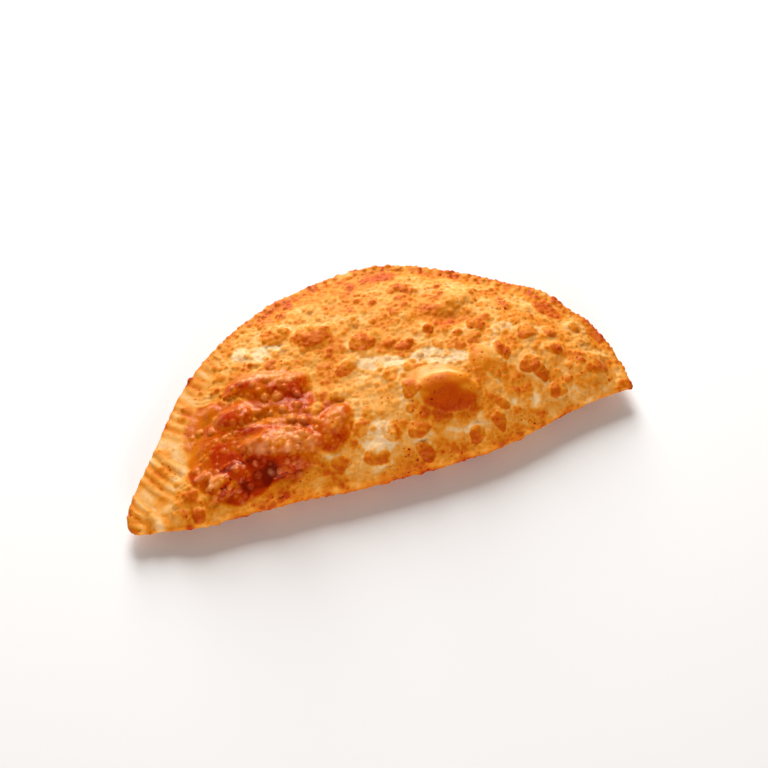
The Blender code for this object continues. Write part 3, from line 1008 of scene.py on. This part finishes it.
    def fine_relief(self, lift, round_lift, dark):
        """How far each point stands out: bubbles, lumps and the dark blister's wrinkles."""
        relief = FINE_HEIGHT * lift * (1 - DARK_FLATTENING * dark) + ROUND_HEIGHT * round_lift
        relief += MEDIUM_HEIGHT * self.medium + SMALL_HEIGHT * self.small
        run = (self.warp_y + WRINKLE_SLANT * self.warp_x) / WRINKLE_RUN
        folds = np.sin(run + WRINKLE_BEND * self.medium)
        for spot in WRINKLED_OVALS:
            relief += WRINKLE_HEIGHT * folds * oval(self.x, self.y, *spot)
        return relief * ease(self.z / FINE_GROUND_CLEAR)

    def sheen_share(self, crown, round_crown):
        """How much painted sheen, a pale pinkish colour standing in for highlights, the dark blister
        gets at each point.
        """
        sheen = FINE_SHEEN * crown + ROUND_SHEEN * round_crown**2
        lumps = SHEEN_LEVEL + self.medium + self.small
        for *spot, amount in PAINTED_SHEEN_SPOTS:
            sheen += amount * self.on_spot(spot, PAINTED_SHEEN_SPOTS_EDGE) * lumps
        return sheen


def fry(obj):
    """Fine bubbles in the skin, and how brown, how oily and how much painted sheen each spot gets."""
    mesh = obj.data
    skin = Skin(mesh)
    normals = normals_of(mesh)
    dark = skin.dark_share()
    smooth = skin.smooth_share()
    pressed = skin.pressed_share()
    fine = fine_bubbles(skin.points, skin.welcome(dark, smooth, pressed))
    lift, crown, shade = raise_bubbles(skin.points, fine, FINE_EDGE)
    placed = placed_bubbles(skin.points)
    round_lift, round_crown, _ = raise_bubbles(skin.points, placed, ROUND_EDGE)

    plain_tones = skin.plain_browning_and_light(crown, shade, smooth)
    dark_tones = skin.dark_browning_and_light(crown, round_crown)
    # The browning field holds real browning together with the painted highlight and painted shade
    # added above
    brown = plain_tones * (1 - dark) + dark_tones * dark + skin.edge_browning_and_groove_shade(dark, pressed)
    save_field(mesh, "browning", np.clip(brown, 0, 1))
    save_field(mesh, "oil", np.clip(dark + SMOOTH_OIL * smooth, 0, 1))
    # painted sheen of the dark blister's bubbles and lobe tops
    save_field(mesh, "pale_skin", np.clip(dark * skin.sheen_share(crown, round_crown), 0, 1))
    relief = skin.fine_relief(lift, round_lift, dark)
    set_points(mesh, skin.points + normals * relief[:, None])


def settle(obj):
    """Puts the crust where its solid stands, on the floor."""
    points = points_of(obj.data)
    low, high = (np.array(corner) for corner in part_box("cheburek"))
    middle = (points.min(axis=0) + points.max(axis=0)) / 2
    points[:, :2] += (low + high)[:2] / 2 - middle[:2]
    points[:, 2] -= points[:, 2].min()
    points[points[:, 2] < FLAT_SNAP, 2] = 0
    set_points(obj.data, points)


# ---------------------------------------------------------------- materials
class Value:
    """A number in a material, so that sums on it are written as plain expressions."""

    def __init__(self, recipe, socket):
        self.recipe = recipe
        self.socket = socket

    def __add__(self, other):
        return self.recipe.math("ADD", self, other)

    __radd__ = __add__

    def __mul__(self, other):
        return self.recipe.math("MULTIPLY", self, other)

    __rmul__ = __mul__

    def __sub__(self, other):
        return self.recipe.math("SUBTRACT", self, other)

    def __rsub__(self, other):
        return self.recipe.math("SUBTRACT", other, self)


class Recipe:
    """One material's nodes."""

    def __init__(self, name):
        self.material = bpy.data.materials.new(name)
        self.material.use_nodes = True
        self.tree = self.material.node_tree
        self.shader = self.tree.nodes["Principled BSDF"]

    def put(self, socket, value):
        if isinstance(value, Value):
            self.tree.links.new(value.socket, socket)
        else:
            socket.default_value = value

    def node(self, kind, output, settings=None, sockets=None):
        """A node with its settings, and its sockets' values or links; returns one output."""
        node = self.tree.nodes.new(kind)
        for name, value in (settings or {}).items():
            if name == "stops":
                self.set_stops(node.color_ramp.elements, value)
            else:
                setattr(node, name, value)
        for key, value in (sockets or {}).items():
            self.put(node.inputs[key], value)
        return Value(self, node.outputs[output])

    @staticmethod
    def set_stops(elements, stops):
        while len(elements) < len(stops):
            elements.new(0.5)
        for element, (position, colour) in zip(elements, stops):
            element.position = position
            element.color = colour

    def math(self, operation, *values):
        return self.node("ShaderNodeMath", 0, {"operation": operation}, dict(enumerate(values)))

    def field(self, name):
        """A number that the modelling left on each point."""
        return self.node("ShaderNodeAttribute", "Fac", {"attribute_name": name})

    def speckle(self, size, detail=2, rough=0.5):
        """Noise from 0 to 1 with lumps of about this size."""
        place = self.node("ShaderNodeTexCoord", "Object")
        sockets = {"Vector": place, "Scale": 1 / size, "Detail": detail, "Roughness": rough}
        return self.node("ShaderNodeTexNoise", "Fac", sockets=sockets)

    def finish(self, sockets):
        for name, value in sockets.items():
            self.put(self.shader.inputs[name], value)
        return self.material


def screen_colour(text):
    """A colour given as six hexadecimal digits of screen colour, as the renderer's linear colour."""
    shares = (int(text[i : i + 2], 16) / 255 for i in (0, 2, 4))
    linear = [s / 12.92 if s <= 0.04045 else ((s + 0.055) / 1.055) ** 2.4 for s in shares]
    return (*linear, 1)


def fried_crust():
    """Fried dough: pale where it stayed low, brown on its bubbles, oily on the dark blister."""
    recipe = Recipe("fried_crust")
    # browning: real browning with painted highlight and painted shade mixed in
    browning = recipe.field("browning")
    oil = recipe.field("oil")
    blotch = recipe.speckle(BLOTCH_SIZE, detail=3, rough=0.6)
    grain = recipe.speckle(GRAIN_SIZE, rough=0.6)
    pits = recipe.math("MAXIMUM", recipe.speckle(PIT_SIZE, detail=0) - PIT_LEVEL, 0)
    pitted = recipe.math("MAXIMUM", recipe.speckle(PITTED_SIZE, detail=1) - PITTED_LEVEL, 0)
    toast = browning + (blotch - 0.5) * BLOTCH_TONE + (grain - 0.5) * GRAIN_TONE
    toast = toast + pits * pitted * PIT_TONE
    stops = [(position, screen_colour(colour)) for position, colour in BROWNING_STOPS]
    colour = recipe.node("ShaderNodeValToRGB", "Color", {"stops": stops}, {"Fac": toast})
    # painted sheen: a pale pinkish colour mixed in where the dark blister's highlights would be
    sheen_skin = {0: recipe.field("pale_skin"), 6: colour, 7: screen_colour(PAINTED_SHEEN_COLOUR)}
    colour = recipe.node("ShaderNodeMix", 2, {"data_type": "RGBA"}, sheen_skin)
    height = grain * BUMP_GRAIN + blotch * BUMP_BLOTCH
    bump = {"Strength": BUMP_STRENGTH, "Distance": BUMP_DEPTH, "Height": height}
    return recipe.finish(
        {
            "Base Color": colour,
            "Roughness": DRY_ROUGHNESS - oil * OIL_SMOOTHING + (blotch - 0.5) * BLOTCH_ROUGHNESS,
            "Normal": recipe.node("ShaderNodeBump", "Normal", sockets=bump),
            "Specular IOR Level": 0.17,
            "Specular Tint": (1.0, 0.74, 0.42, 1),
            "Subsurface Weight": 0.15,
            "Subsurface Radius": (1.0, 0.45, 0.12),
            "Subsurface Scale": 2.0 * MM,
        }
    )


def floor_paper():
    recipe = Recipe("floor_paper")
    tooth = recipe.speckle(1.5 * MM)
    return recipe.finish({"Base Color": (0.9, 0.9, 0.9, 1), "Roughness": 0.85 + tooth * 0.1})


# ---------------------------------------------------------------- pieces and stage
def make_crust():
    obj = flat_dough()
    puff_up(obj.data)
    apply_modifier(obj, "REMESH", mode="VOXEL", voxel_size=SKIN_CELL)
    add_relief(obj.data)
    apply_modifier(obj, "REMESH", mode="VOXEL", voxel_size=FINE_CELL)
    refine_top(obj)
    fry(obj)
    settle(obj)
    obj.data.materials.append(fried_crust())
    deselect_all()
    obj.select_set(True)
    bpy.context.view_layer.objects.active = obj
    bpy.ops.object.shade_smooth()
    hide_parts("cheburek")
    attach(obj, "root")


def make_floor():
    deselect_all()
    bpy.ops.mesh.primitive_plane_add(size=FLOOR_SIZE, location=(0, 0, 0))
    floor = bpy.context.object
    floor.name = "floor"
    floor.data.materials.append(floor_paper())


def view_back(turn, rise):
    """The direction from the target towards an eye turned and raised by these degrees."""
    turn, rise = math.radians(turn), math.radians(rise)
    return Vector(
        (math.sin(turn) * math.cos(rise), -math.cos(turn) * math.cos(rise), math.sin(rise))
    )


def point_at(obj, target):
    way = Vector(target) - obj.location
    obj.rotation_euler = way.to_track_quat("-Z", "Y").to_euler()


def make_camera():
    back = view_back(VIEW_TURN, VIEW_RISE)
    bpy.ops.object.camera_add(location=Vector(VIEW_TARGET) + back * VIEW_DISTANCE)
    camera = bpy.context.object
    camera.data.lens = LENS
    point_at(camera, VIEW_TARGET)
    bpy.context.scene.camera = camera


def add_softbox(name, turn, rise, distance, size, power):
    """A square soft light that shines on the food from this direction."""
    location = Vector(VIEW_TARGET) + view_back(turn, rise) * distance
    bpy.ops.object.light_add(type="AREA", location=location)
    light = bpy.context.object
    light.name = name
    light.data.shape = "SQUARE"
    light.data.size = size
    light.data.energy = power
    point_at(light, VIEW_TARGET)


def make_light():
    for softbox in SOFTBOXES:
        add_softbox(*softbox)
    world = bpy.data.worlds.new("studio")
    world.use_nodes = True
    background = world.node_tree.nodes["Background"]
    background.inputs["Color"].default_value = ROOM_COLOUR
    background.inputs["Strength"].default_value = ROOM_STRENGTH
    bpy.context.scene.world = world
    bpy.context.scene.view_settings.view_transform = "Standard"


make_crust()
make_floor()
make_camera()
make_light()
